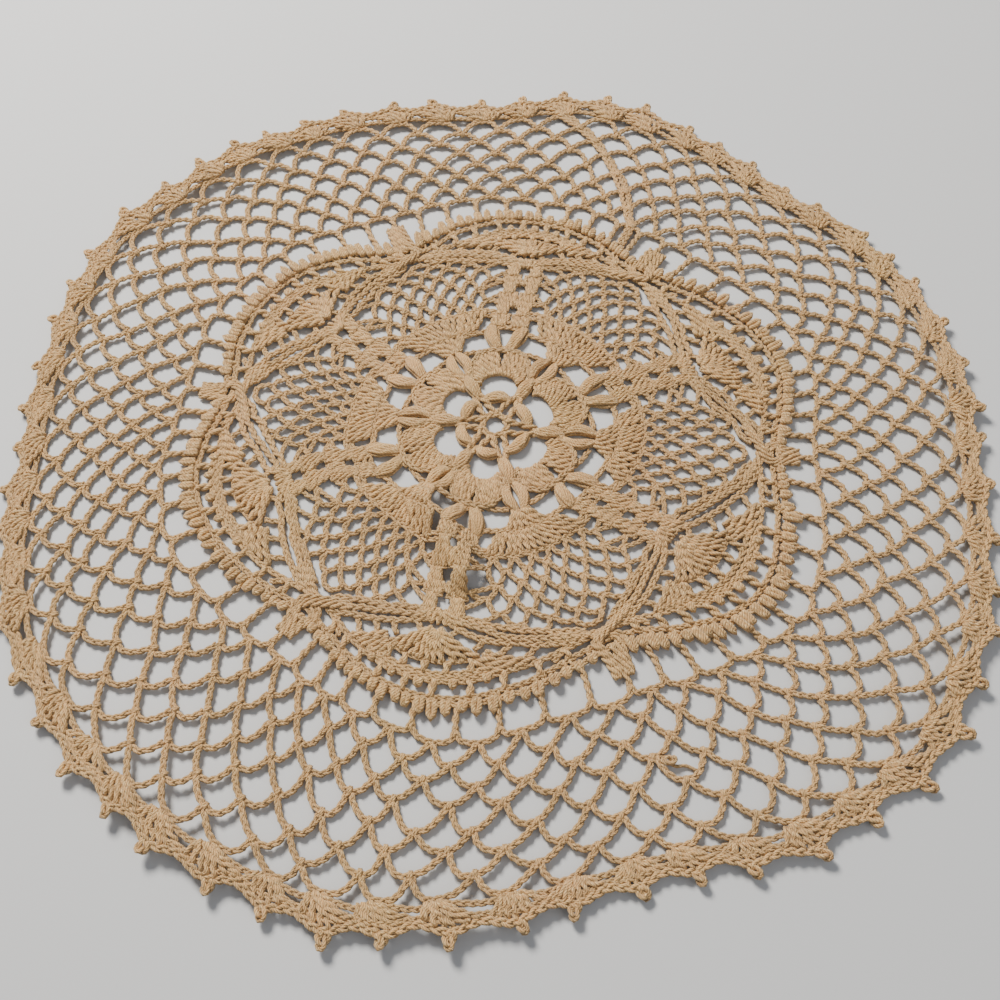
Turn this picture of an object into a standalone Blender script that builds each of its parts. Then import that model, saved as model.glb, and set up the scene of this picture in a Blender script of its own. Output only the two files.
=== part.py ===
"""Round crocheted lace doily, lying flat: one sheet of cotton lace with its uneven, wavy outline, its edging of
small picots, the open cells of the wide chain net, the gaps round the centre and the one raised pucker.

Every place in the lace is worked out in an even chart first, a true circle with six repeats, as (angle, radius) with
the mean outer radius equal to 1. lay() then moves it to where it lies on the real, hand-made and slightly pulled
piece. Metres, +Z up. The origin is under the middle of the outline's box, on the surface that it rests on.
"""

import math

import bmesh
import bpy

# ---------------------------------------------------------------- sizes
MEAN_RADIUS = 0.170  # centre to picot tips, averaged round the edge
THICKNESS = 0.0020  # one layer of crochet, a little flattened
CORD = 0.0026  # width of a chain of stitches
CENTRE_SHIFT = (-0.00116, 0.00399)  # from the middle of the outline's box to the centre ring, put in from box_middle()

REPEATS = 6  # the medallion's repeats
FAN_AXIS = 20.0  # degrees, an outer fan points this way, the pineapples lie half way between
NET_LOOPS = 60  # chain loops in each round of the net, and picots on the edge
FIRST_LOOP = 17.0  # degrees, the middle of the first loop of round 1
PICOT_TIP, PICOT_BASE = 1.0, 0.972  # radii in the chart
PICOT_HALF = 1.05  # degrees at the base
BAND_INNER = 0.930  # inner edge of the solid border
EDGE_FAN, EDGE_PINEAPPLE = 0.665, 0.625  # the medallion's edge on both kinds of axis

# Each round of the net: how far out its knots lie, from the medallion's edge (0) to the border (1)
NET_ROUNDS = [
    # (round, reach)
    (0, 0.000),
    (1, 0.165),
    (2, 0.305),
    (3, 0.435),
    (4, 0.560),
    (5, 0.685),
    (6, 0.805),
    (7, 0.910),
    (8, 1.000),
]
OPEN_ROUNDS = range(1, 8)  # rounds whose cells are cut: 1 is the row of windows between the posts

# How the piece lies on each of its twelve axes, from the pineapple's at -10 degrees on: how far it is turned and how far
# drawn in or out at each of these radii of the chart, and then at the medallion's edge and, for the turn, the border
AXIS_START, AXIS_STEP = -10.0, 30.0
STATIONS = [0.110, 0.235, 0.350, 0.430, 0.510, 0.570]
TURNS = [
    [-0.2, 1.2, 2.4, 2.3, 3.0, 3.0, 3.0, 0.8],
    [2.6, 1.4, 0.8, -0.2, -1.6, -2.8, -2.8, 0.1],
    [6.9, 2.0, 3.2, 3.0, -0.3, 1.5, 1.5, -0.5],
    [8.3, 5.4, 1.8, 1.2, 1.2, 0.6, 0.6, 0.0],
    [8.5, 7.0, 4.6, 1.5, 3.0, 4.0, 4.0, 1.1],
    [5.5, 5.4, 5.7, 4.6, 3.6, 3.1, 3.1, -0.1],
    [3.0, 4.4, 0.5, 0.7, 0.6, 1.9, 1.9, 0.9],
    [1.3, -0.8, -5.0, -2.8, -2.5, -3.6, -3.6, -0.6],
    [-0.3, -2.7, -4.2, -3.1, -1.9, -1.0, -1.0, -1.1],
    [-4.7, -6.5, -5.8, -4.0, -4.5, -5.1, -5.1, -0.5],
    [-10.0, -5.8, -2.2, 0.0, 3.4, 4.1, 4.1, -0.7],
    [-5.3, -4.3, 0.6, 3.2, 2.8, 1.4, 1.4, 0.8],
]
SCALES = [
    [1.000, 1.020, 1.000, 1.000, 1.035, 1.030, 1.000],
    [0.940, 1.000, 1.000, 0.990, 0.990, 0.995, 1.005],
    [1.000, 0.980, 1.000, 1.000, 0.960, 0.930, 0.945],
    [1.000, 0.995, 1.020, 1.015, 0.980, 0.930, 0.915],
    [1.000, 0.990, 0.980, 0.980, 0.930, 0.900, 0.945],
    [1.010, 1.005, 0.995, 1.000, 1.000, 0.990, 0.985],
    [1.000, 1.020, 1.000, 1.000, 1.030, 1.020, 1.010],
    [1.070, 1.065, 1.040, 1.030, 1.030, 1.020, 1.005],
    [1.000, 0.990, 0.980, 0.980, 0.980, 1.000, 0.980],
    [1.030, 0.995, 1.000, 1.010, 1.000, 0.980, 0.960],
    [1.000, 0.990, 0.980, 0.980, 0.950, 0.930, 0.945],
    [0.950, 0.925, 0.940, 0.950, 0.970, 0.990, 1.020],
]
RING_AT = (-0.0056, 0.0030)  # where the centre ring has slipped to
# Outer edge against the mean radius, every 15 degrees from 0
EDGE_STEP = 15.0
EDGE = [1.010, 1.015, 1.000, 0.955, 0.980, 1.010, 0.955, 0.970, 1.015, 1.040, 1.050, 1.010]
EDGE += [1.000, 1.020, 1.045, 1.045, 1.055, 1.040, 1.000, 0.965, 1.025, 1.070, 1.055, 1.030]

# Slow pulls in the plane, waves over the net and the border
PULLS = [
    # (size, waves across x, waves across y, phase, moves x, moves y)
    (0.0060, 1.9, 2.3, 0.4, 1.0, 0.3),
    (0.0050, -2.7, 1.6, 2.1, 0.2, 1.0),
    (0.0040, 3.6, -2.9, 4.0, 0.8, -0.6),
    (0.0030, 4.9, 4.1, 1.2, -0.5, 0.9),
]
KNOT_SLIP = 0.0055  # how far single knots of the net have slipped

# Gaps of the medallion that are cut, repeated six times
GAPS = [
    # (name, angle from the fan axis, radius, half size round, half size out, corners, turned)
    ("arch", 0.0, 0.1090, 0.0365, 0.0235, 6, 0.0),
    ("hub_left", 30.0 - 13.6, 0.2200, 0.0310, 0.0200, 4, 0.0),
    ("hub_right", 30.0 + 13.6, 0.2200, 0.0310, 0.0200, 4, 0.0),
]
RING = (0.0185, 8)  # centre ring: radius and corners

# The pucker: the cloth stands up in one short fold beside the centre
PUCKER_FROM, PUCKER_TO = (-0.135, -0.185), (-0.062, -0.345)
PUCKER_HEIGHT, PUCKER_HALF = 0.0060, 0.055  # metres, and a share of the radius
PUCKER_CUTS = 2


# ---------------------------------------------------------------- the chart
def around(rows, step, start, angle):
    """A smooth closed curve through values at equal steps round the circle."""
    n = len(rows)
    t = ((angle - start) / step) % n
    i = int(t)
    u = t - i
    a, b, c, d = (rows[(i + k - 1) % n] for k in range(4))
    return b + 0.5 * u * (c - a + u * (2 * a - 5 * b + 4 * c - d + u * (3 * (b - c) + d - a)))


def stepped(rows, stops, angle, radius):
    """A value of the tables above: smooth round the circle, and straight from one stop of the radius to the next."""
    value = around([row[0] for row in rows], AXIS_STEP, AXIS_START, angle)
    for i in range(len(stops) - 1):
        way = min(1.0, max(0.0, (radius - stops[i]) / (stops[i + 1] - stops[i])))
        if way > 0.0:
            value += way * around([row[i + 1] - row[i] for row in rows], AXIS_STEP, AXIS_START, angle)
    return value


def medallion_edge(angle):
    middle, swing = (EDGE_FAN + EDGE_PINEAPPLE) / 2, (EDGE_FAN - EDGE_PINEAPPLE) / 2
    return middle + swing * math.cos(math.radians(REPEATS * (angle - FAN_AXIS)))


def lay(angle, radius):
    """Where a place of the even chart lies: x, y in metres."""
    edge = medallion_edge(angle)
    turn = stepped(TURNS, STATIONS + [edge, 1.0], angle, radius)
    pull = stepped(SCALES, STATIONS + [edge], angle, radius)
    if radius > edge:
        pull += (around(EDGE, EDGE_STEP, 0.0, angle) - pull) * (radius - edge) / (1.0 - edge)
    reach = max(radius, STATIONS[0])
    x = reach * pull * math.cos(math.radians(angle + turn))
    y = reach * pull * math.sin(math.radians(angle + turn))
    dx = dy = 0.0
    for size, kx, ky, phase, mx, my in PULLS:
        wave = size * math.sin(kx * x * 3 + ky * y * 3 + phase)
        dx, dy = dx + wave * mx, dy + wave * my
    free = min(1.0, max(0.0, (radius - 0.45) / 0.25))
    near = min(1.0, radius / STATIONS[0])
    x, y = RING_AT[0] * (1 - near) + (x + dx * free) * near, RING_AT[1] * (1 - near) + (y + dy * free) * near
    return MEAN_RADIUS * x + CENTRE_SHIFT[0], MEAN_RADIUS * y + CENTRE_SHIFT[1]


def slip(level, loop):
    """How far one knot has slipped, round and out: the same for the same knot each time."""
    a = math.sin(12.9898 * loop + 78.233 * level) * 43758.5453
    b = math.sin(39.3467 * loop + 11.135 * level) * 24634.6345
    return (a - math.floor(a)) * 2 - 1, (b - math.floor(b)) * 2 - 1


def knot(level, loop):
    """Knot of the net in the chart: the top of one loop of its round."""
    angle = FIRST_LOOP + 360.0 / NET_LOOPS * (loop + 0.5 * (level - 1))
    edge = medallion_edge(angle)
    reach = NET_ROUNDS[level][1]
    radius = edge + (BAND_INNER - edge) * reach
    if 0 < level < 8:
        across, out = slip(level, loop % NET_LOOPS)
        radius += KNOT_SLIP * out
        angle += math.degrees(KNOT_SLIP * across / radius)
    return angle, radius


def drawn_in(corners, inset):
    """The corners moved inwards by the inset, as a hole inside its cords."""
    n = len(corners)
    lines = []
    for i in range(n):
        (x0, y0), (x1, y1) = corners[i], corners[(i + 1) % n]
        length = math.hypot(x1 - x0, y1 - y0)
        nx, ny = -(y1 - y0) / length, (x1 - x0) / length  # inwards, on corners that run anticlockwise
        lines.append((nx, ny, nx * x0 + ny * y0 + inset))
    found = []
    for i in range(n):
        a, b, c = lines[i - 1]
        d, e, f = lines[i]
        det = a * e - b * d
        found.append(((c * e - b * f) / det, (a * f - c * d) / det))
    return found


def net_cell(level, loop):
    """The opening under one loop of a round, with its corners anticlockwise."""
    if level == 1:
        half = 180.0 / NET_LOOPS
        angle = FIRST_LOOP + 2 * half * loop
        top = knot(1, loop)[1]
        low = medallion_edge(angle) - 0.003
        # the two posts stand at half a loop to each side
        corners = [(angle - half, low), (angle - half, top - 0.006), (angle + half, top - 0.006), (angle + half, low)]
    elif level == 2:
        first, last = knot(1, loop), knot(1, loop + 1)
        middle = (first[0] + last[0]) / 2
        corners = [(middle, min(first[1], last[1]) - 0.001), first, knot(2, loop), last]
    else:
        corners = [knot(level - 2, loop + 1), knot(level - 1, loop), knot(level, loop), knot(level - 1, loop + 1)]
    return drawn_in([lay(*corner) for corner in corners], CORD / 2)


def outline():
    points = []
    for picot in range(NET_LOOPS):
        angle = FIRST_LOOP + 360.0 / NET_LOOPS * (picot + 0.5)
        across, out = slip(9, picot)
        angle += 0.6 * across
        tip = PICOT_TIP + 0.007 * out
        for at, radius in ((-PICOT_HALF, PICOT_BASE), (0.0, tip), (PICOT_HALF, PICOT_BASE)):
            points.append(lay(angle + at, radius))
    return points


def box_middle():
    """How far the middle of the outline's box is from the origin. CENTRE_SHIFT makes it zero."""
    xs, ys = zip(*outline())
    return (min(xs) + max(xs)) / 2, (min(ys) + max(ys)) / 2


def gap(angle, radius, half_round, half_out, corners):
    points = []
    for i in range(corners):
        a = 2 * math.pi * (i + 0.5 * (corners % 4 == 2)) / corners
        x, y = radius + half_out * math.cos(a), half_round * math.sin(a)
        points.append(lay(angle + math.degrees(math.atan2(y, x)), math.hypot(x, y)))
    return points


def all_holes():
    ring, corners = RING
    holes = [("ring", 0, [lay(360.0 * i / corners, ring) for i in range(corners)])]
    for repeat in range(REPEATS):
        for name, angle, radius, half_round, half_out, corners, _ in GAPS:
            at = FAN_AXIS + 60.0 * repeat + angle
            holes.append((name, repeat, gap(at, radius, half_round, half_out, corners)))
    for level in OPEN_ROUNDS:
        for loop in range(NET_LOOPS):
            holes.append((f"net{level}", loop, net_cell(level, loop)))
    return holes


def rise(x, y):
    """Height of the pucker at a place, in metres."""
    x, y = (x - CENTRE_SHIFT[0]) / MEAN_RADIUS, (y - CENTRE_SHIFT[1]) / MEAN_RADIUS
    (ax, ay), (bx, by) = PUCKER_FROM, PUCKER_TO
    along = ((x - ax) * (bx - ax) + (y - ay) * (by - ay)) / ((bx - ax) ** 2 + (by - ay) ** 2)
    near = min(1.0, max(0.0, along))
    away = math.hypot(x - ax - near * (bx - ax), y - ay - near * (by - ay)) / PUCKER_HALF
    return PUCKER_HEIGHT * (0.5 + 0.5 * math.cos(math.pi * away)) if away < 1.0 else 0.0


# ---------------------------------------------------------------- the sheet
def lace_outline_curve(name):
    """A flat filled 2D curve: the outline and every hole as closed lines."""
    curve = bpy.data.curves.new(name, "CURVE")
    curve.dimensions = "2D"
    curve.fill_mode = "BOTH"
    for points in [outline()] + [points for _, _, points in all_holes()]:
        line = curve.splines.new("POLY")
        line.points.add(len(points) - 1)
        for point, (x, y) in zip(line.points, points):
            point.co = (x, y, 0.0, 1.0)
        line.use_cyclic_u = True
    return bpy.data.objects.new(name, curve)


def cotton():
    material = bpy.data.materials.new("ecru_cotton")
    material.use_nodes = True
    shader = material.node_tree.nodes["Principled BSDF"]
    shader.inputs["Base Color"].default_value = (0.56, 0.43, 0.29, 1.0)
    shader.inputs["Roughness"].default_value = 0.9
    shader.inputs["Metallic"].default_value = 0.0
    return material


def main():
    for old in list(bpy.data.objects):
        bpy.data.objects.remove(old, do_unlink=True)
    group = bpy.data.collections.new("lace_doily")
    bpy.context.scene.collection.children.link(group)

    guide = lace_outline_curve("outline_guide")
    group.objects.link(guide)
    bpy.context.view_layer.update()
    graph = bpy.context.evaluated_depsgraph_get()
    mesh = bpy.data.meshes.new_from_object(guide.evaluated_get(graph))
    bpy.data.objects.remove(guide, do_unlink=True)
    mesh.name = "doily"

    bm = bmesh.new()
    bm.from_mesh(mesh)
    bmesh.ops.remove_doubles(bm, verts=bm.verts, dist=1e-6)
    bmesh.ops.triangulate(bm, faces=bm.faces)
    # the fold needs points of its own between the holes, where the sheet stands up
    for _ in range(PUCKER_CUTS):
        edges = []
        for edge in bm.edges:
            a, b = edge.verts[0].co, edge.verts[1].co
            if edge.is_boundary or edge.calc_length() < 0.0065:
                continue
            if any(rise(a.x + (b.x - a.x) * t / 8, a.y + (b.y - a.y) * t / 8) > 0.0004 for t in range(9)):
                edges.append(edge)
        bmesh.ops.subdivide_edges(bm, edges=edges, cuts=1)
        bmesh.ops.triangulate(bm, faces=bm.faces)
    bmesh.ops.beautify_fill(bm, faces=bm.faces, edges=[e for e in bm.edges if not e.is_boundary])
    for vert in bm.verts:
        vert.co.z = rise(vert.co.x, vert.co.y)
    bmesh.ops.recalc_face_normals(bm, faces=bm.faces)
    if sum(face.normal.z for face in bm.faces) < 0:
        bmesh.ops.reverse_faces(bm, faces=bm.faces)
    bm.to_mesh(mesh)
    bm.free()

    doily = bpy.data.objects.new("doily", mesh)
    group.objects.link(doily)
    mesh.materials.clear()
    mesh.materials.append(cotton())
    thick = doily.modifiers.new("thickness", "SOLIDIFY")
    thick.thickness = THICKNESS
    thick.offset = 1.0
    thick.use_even_offset = False


main()
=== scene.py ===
"""Round crocheted lace doily: every worked cord of it, laid along the same even chart as the solid sheet.

The chart is a true circle with six repeats, as (angle, radius) with the mean outer radius 1. lay() moves a place of it
to where it lies on the hand-made, pulled piece. Three kinds of cord make up the lace: a chain of stitches, which is
three strands in a plait; a post, such as a treble, which is two strands twisted; and a puff or leaf, which is a bundle
of cords that belly out. Metres, +Z up.
"""

import math

import bpy
import numpy as np
from mathutils import Matrix


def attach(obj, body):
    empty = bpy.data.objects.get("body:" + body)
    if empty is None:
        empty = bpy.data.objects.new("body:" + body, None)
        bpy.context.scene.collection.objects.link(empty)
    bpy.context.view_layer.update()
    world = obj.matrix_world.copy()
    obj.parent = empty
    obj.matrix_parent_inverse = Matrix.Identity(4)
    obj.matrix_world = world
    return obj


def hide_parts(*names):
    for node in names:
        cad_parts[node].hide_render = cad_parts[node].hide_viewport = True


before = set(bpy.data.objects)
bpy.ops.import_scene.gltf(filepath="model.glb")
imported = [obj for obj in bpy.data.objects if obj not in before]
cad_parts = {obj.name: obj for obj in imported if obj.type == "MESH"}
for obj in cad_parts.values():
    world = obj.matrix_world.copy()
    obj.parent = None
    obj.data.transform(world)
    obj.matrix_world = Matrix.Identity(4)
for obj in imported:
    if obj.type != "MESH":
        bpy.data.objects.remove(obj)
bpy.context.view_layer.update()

rng = np.random.default_rng(20)

# ---------------------------------------------------------------- the chart, as in the solid
MEAN_RADIUS = 0.170
CENTRE_SHIFT = np.array([-0.00116, 0.00399])
FAN_AXIS, PINEAPPLE_AXIS = 20.0, -10.0
NET_LOOPS = 60
FIRST_LOOP = 17.0
BAND_INNER = 0.930
EDGE_FAN, EDGE_PINEAPPLE = 0.665, 0.625
REACH = [0.000, 0.165, 0.305, 0.435, 0.560, 0.685, 0.805, 0.910, 1.000]  # of each round of the net
# how the piece lies on each of its twelve axes: turned and drawn in or out at each station of the radius
STATIONS = [0.110, 0.235, 0.350, 0.430, 0.510, 0.570]
TURNS = [
    [-0.2, 1.2, 2.4, 2.3, 3.0, 3.0, 3.0, 0.8],
    [2.6, 1.4, 0.8, -0.2, -1.6, -2.8, -2.8, 0.1],
    [6.9, 2.0, 3.2, 3.0, -0.3, 1.5, 1.5, -0.5],
    [8.3, 5.4, 1.8, 1.2, 1.2, 0.6, 0.6, 0.0],
    [8.5, 7.0, 4.6, 1.5, 3.0, 4.0, 4.0, 1.1],
    [5.5, 5.4, 5.7, 4.6, 3.6, 3.1, 3.1, -0.1],
    [3.0, 4.4, 0.5, 0.7, 0.6, 1.9, 1.9, 0.9],
    [1.3, -0.8, -5.0, -2.8, -2.5, -3.6, -3.6, -0.6],
    [-0.3, -2.7, -4.2, -3.1, -1.9, -1.0, -1.0, -1.1],
    [-4.7, -6.5, -5.8, -4.0, -4.5, -5.1, -5.1, -0.5],
    [-10.0, -5.8, -2.2, 0.0, 3.4, 4.1, 4.1, -0.7],
    [-5.3, -4.3, 0.6, 3.2, 2.8, 1.4, 1.4, 0.8],
]
SCALES = [
    [1.000, 1.020, 1.000, 1.000, 1.035, 1.030, 1.000],
    [0.940, 1.000, 1.000, 0.990, 0.990, 0.995, 1.005],
    [1.000, 0.980, 1.000, 1.000, 0.960, 0.930, 0.945],
    [1.000, 0.995, 1.020, 1.015, 0.980, 0.930, 0.915],
    [1.000, 0.990, 0.980, 0.980, 0.930, 0.900, 0.945],
    [1.010, 1.005, 0.995, 1.000, 1.000, 0.990, 0.985],
    [1.000, 1.020, 1.000, 1.000, 1.030, 1.020, 1.010],
    [1.070, 1.065, 1.040, 1.030, 1.030, 1.020, 1.005],
    [1.000, 0.990, 0.980, 0.980, 0.980, 1.000, 0.980],
    [1.030, 0.995, 1.000, 1.010, 1.000, 0.980, 0.960],
    [1.000, 0.990, 0.980, 0.980, 0.950, 0.930, 0.945],
    [0.950, 0.925, 0.940, 0.950, 0.970, 0.990, 1.020],
]
RING_AT = np.array([-0.0056, 0.0030])
EDGE = [1.010, 1.015, 1.000, 0.955, 0.980, 1.010, 0.955, 0.970, 1.015, 1.040, 1.050, 1.010]
EDGE += [1.000, 1.020, 1.045, 1.045, 1.055, 1.040, 1.000, 0.965, 1.025, 1.070, 1.055, 1.030]
PULLS = [
    # (size, waves across x, waves across y, phase, moves x, moves y)
    (0.0060, 1.9, 2.3, 0.4, 1.0, 0.3),
    (0.0050, -2.7, 1.6, 2.1, 0.2, 1.0),
    (0.0040, 3.6, -2.9, 4.0, 0.8, -0.6),
    (0.0030, 4.9, 4.1, 1.2, -0.5, 0.9),
]
KNOT_SLIP = 0.0055
PUCKER_FROM, PUCKER_TO = (-0.135, -0.185), (-0.062, -0.345)
PUCKER_HEIGHT, PUCKER_HALF = 0.0060, 0.055


def around(rows, step, start, angle):
    """A smooth closed curve through values at equal steps round the circle."""
    rows = np.asarray(rows, float)
    n = len(rows)
    t = ((np.asarray(angle, float) - start) / step) % n
    i = np.floor(t).astype(int)
    u = t - i
    a, b, c, d = (rows[(i + k - 1) % n] for k in range(4))
    return b + 0.5 * u * (c - a + u * (2 * a - 5 * b + 4 * c - d + u * (3 * (b - c) + d - a)))


def medallion_edge(angle):
    middle, swing = (EDGE_FAN + EDGE_PINEAPPLE) / 2, (EDGE_FAN - EDGE_PINEAPPLE) / 2
    return middle + swing * np.cos(np.radians(6 * (np.asarray(angle, float) - FAN_AXIS)))


def stepped(rows, stops, angle, radius):
    """A value of the tables above: smooth round the circle, and straight from one stop of the radius to the next."""
    columns = np.array(rows).T
    value = around(columns[0], 30.0, -10.0, angle)
    for i in range(len(stops) - 1):
        way = np.clip((radius - stops[i]) / (stops[i + 1] - stops[i]), 0.0, 1.0)
        value = value + way * around(columns[i + 1] - columns[i], 30.0, -10.0, angle)
    return value


def lay(angle, radius):
    """Where places of the chart lie: an array of x, y in metres."""
    angle, radius = np.broadcast_arrays(np.asarray(angle, float), np.asarray(radius, float))
    edge = medallion_edge(angle)
    turn = stepped(TURNS, STATIONS + [edge, 1.0], angle, radius)
    pull = stepped(SCALES, STATIONS + [edge], angle, radius)
    outside = np.maximum(0.0, radius - edge) / (1.0 - edge)
    pull = pull + (around(EDGE, 15.0, 0.0, angle) - pull) * outside
    reach = np.maximum(radius, STATIONS[0])
    x = reach * pull * np.cos(np.radians(angle + turn))
    y = reach * pull * np.sin(np.radians(angle + turn))
    dx, dy = np.zeros_like(x), np.zeros_like(y)
    for size, kx, ky, phase, mx, my in PULLS:
        wave = size * np.sin(kx * x * 3 + ky * y * 3 + phase)
        dx, dy = dx + wave * mx, dy + wave * my
    free = np.clip((radius - 0.45) / 0.25, 0.0, 1.0)
    near = np.minimum(1.0, radius / STATIONS[0])[..., None]
    place = RING_AT * (1 - near) + np.stack([x + dx * free, y + dy * free], -1) * near
    return place * MEAN_RADIUS + CENTRE_SHIFT


def laid(points):
    """The same for points given as x, y of the chart."""
    points = np.asarray(points, float)
    return lay(np.degrees(np.arctan2(points[:, 1], points[:, 0])), np.hypot(points[:, 0], points[:, 1]))


def slip(level, loop):
    a = math.sin(12.9898 * loop + 78.233 * level) * 43758.5453
    b = math.sin(39.3467 * loop + 11.135 * level) * 24634.6345
    return (a - math.floor(a)) * 2 - 1, (b - math.floor(b)) * 2 - 1


def knot(level, loop):
    """Knot of the net in the chart, angle and radius: the top of one loop of its round."""
    angle = FIRST_LOOP + 360.0 / NET_LOOPS * (loop + 0.5 * (level - 1))
    edge = float(medallion_edge(angle))
    radius = edge + (BAND_INNER - edge) * REACH[level]
    radius += (0.0, 0.0, 0.0, 0.0, 0.001, 0.004, 0.008, 0.013, 0.019, 0.0)[level]
    if 0 < level < 8:
        across, out = slip(level, loop % NET_LOOPS)
        radius += KNOT_SLIP * out
        angle += math.degrees(KNOT_SLIP * across / radius)
    return angle, radius


def polar(angle, radius):
    a = math.radians(angle)
    return np.array([radius * math.cos(a), radius * math.sin(a)])


def local(axis, across, out):
    """A place beside an axis of the chart: so far across it, anticlockwise, and so far out along it."""
    a = math.radians(axis)
    return np.array([out * math.cos(a) - across * math.sin(a), out * math.sin(a) + across * math.cos(a)])


def smooth(low, high, value):
    t = np.clip((value - low) / (high - low), 0.0, 1.0)
    return t * t * (3 - 2 * t)


def ground(xy):
    """Height of the underside of the lace in metres: flat, with the pucker, faint swells and the lifted parts of the border."""
    x = (xy[:, 0] - CENTRE_SHIFT[0]) / MEAN_RADIUS
    y = (xy[:, 1] - CENTRE_SHIFT[1]) / MEAN_RADIUS
    (ax, ay), (bx, by) = PUCKER_FROM, PUCKER_TO
    along = ((x - ax) * (bx - ax) + (y - ay) * (by - ay)) / ((bx - ax) ** 2 + (by - ay) ** 2)
    near = np.clip(along, 0.0, 1.0)
    away = np.hypot(x - ax - near * (bx - ax), y - ay - near * (by - ay)) / PUCKER_HALF
    z = PUCKER_HEIGHT * (0.5 + 0.5 * np.cos(np.pi * np.minimum(away, 1.0)))
    r = np.hypot(x, y)
    swell = 0.5 + 0.5 * np.sin(6.3 * x + 2.1 * y + 0.6) * np.cos(5.2 * y - 2.9 * x + 1.9)
    z += 0.0007 * swell**2 * smooth(0.3, 0.6, r)
    turn = np.arctan2(y, x)
    lift = 0.5 + 0.5 * np.sin(7 * turn + 1.1) * np.cos(4 * turn - 0.4)
    z += 0.0022 * lift * smooth(0.86, 1.0, r)
    return z


# ---------------------------------------------------------------- lines
def curved(points, closed=False, per=7):
    """A smooth line through the points."""
    p = np.asarray(points, float)
    if closed:
        q = np.vstack([p[-1:], p, p[:2]])
    else:
        q = np.vstack([2 * p[:1] - p[1:2], p, 2 * p[-1:] - p[-2:-1]])
    t = np.linspace(0, 1, per, endpoint=False)[None, :, None]
    a, b, c, d = (q[k : len(q) - 3 + k][:, None, :] for k in range(4))
    line = 0.5 * (2 * b + (c - a) * t + (2 * a - 5 * b + 4 * c - d) * t**2 + (3 * b - 3 * c + d - a) * t**3)
    line = line.reshape(-1, p.shape[1])
    return line if closed else np.vstack([line, p[-1:]])


def evened(line, step, closed=False, whole=1):
    """The line with points at equal steps, and its length. A closed line gets a multiple of so many steps."""
    if closed:
        line = np.vstack([line, line[:1]])
    s = np.concatenate([[0.0], np.cumsum(np.linalg.norm(np.diff(line, axis=0), axis=1))])
    n = max(2, int(round(s[-1] / step / whole)) * whole) if whole > 1 else max(3, int(round(s[-1] / step)))
    t = np.linspace(0, s[-1], n + 1)
    out = np.stack([np.interp(t, s, line[:, k]) for k in range(line.shape[1])], 1)
    return (out[:-1] if closed else out), s[-1]


def tangents(line, closed=False):
    if closed:
        d = np.roll(line, -1, 0) - np.roll(line, 1, 0)
    else:
        d = np.gradient(line, axis=0)
    return d / np.maximum(np.linalg.norm(d, axis=1, keepdims=True), 1e-12)


def centre_line(points, step, height, closed=False, whole=1, wobble=0.0):
    """The middle of a cord, from points of the chart, on the ground plus its height, which may be several along it."""
    line = curved(points, closed)
    if wobble:
        n = len(line)
        way = np.linspace(0, 1, n)
        shift = sum(
            rng.normal(0, wobble / (k + 1)) * np.sin(np.pi * (k + 1) * way + rng.uniform(0, 6.3)) for k in range(3)
        )
        side = tangents(line)[:, ::-1] * [-1, 1]
        line = line + side * (shift * np.sin(np.pi * way))[:, None]
    xy, length = evened(laid(line), step, closed, whole)
    h = np.atleast_1d(np.asarray(height, float))
    if len(h) > 1:
        h = np.interp(np.linspace(0, 1, len(xy)), np.linspace(0, 1, len(h)), h)
    return np.column_stack([xy, ground(xy) + h]), length


# ---------------------------------------------------------------- cords
CHAIN_STRAND = 0.00057  # radius of one strand of the plait, metres
CHAIN_ACROSS, CHAIN_RISE = 0.00080, 0.00043
CHAIN_PITCH, CHAIN_STEPS = 0.0096, 7
POST_STRAND, POST_TURN = 0.00057, 0.00052
POST_PITCH, POST_STEPS = 0.0056, 6
YARN_PITCH = 0.0042  # one turn of the plies


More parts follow.
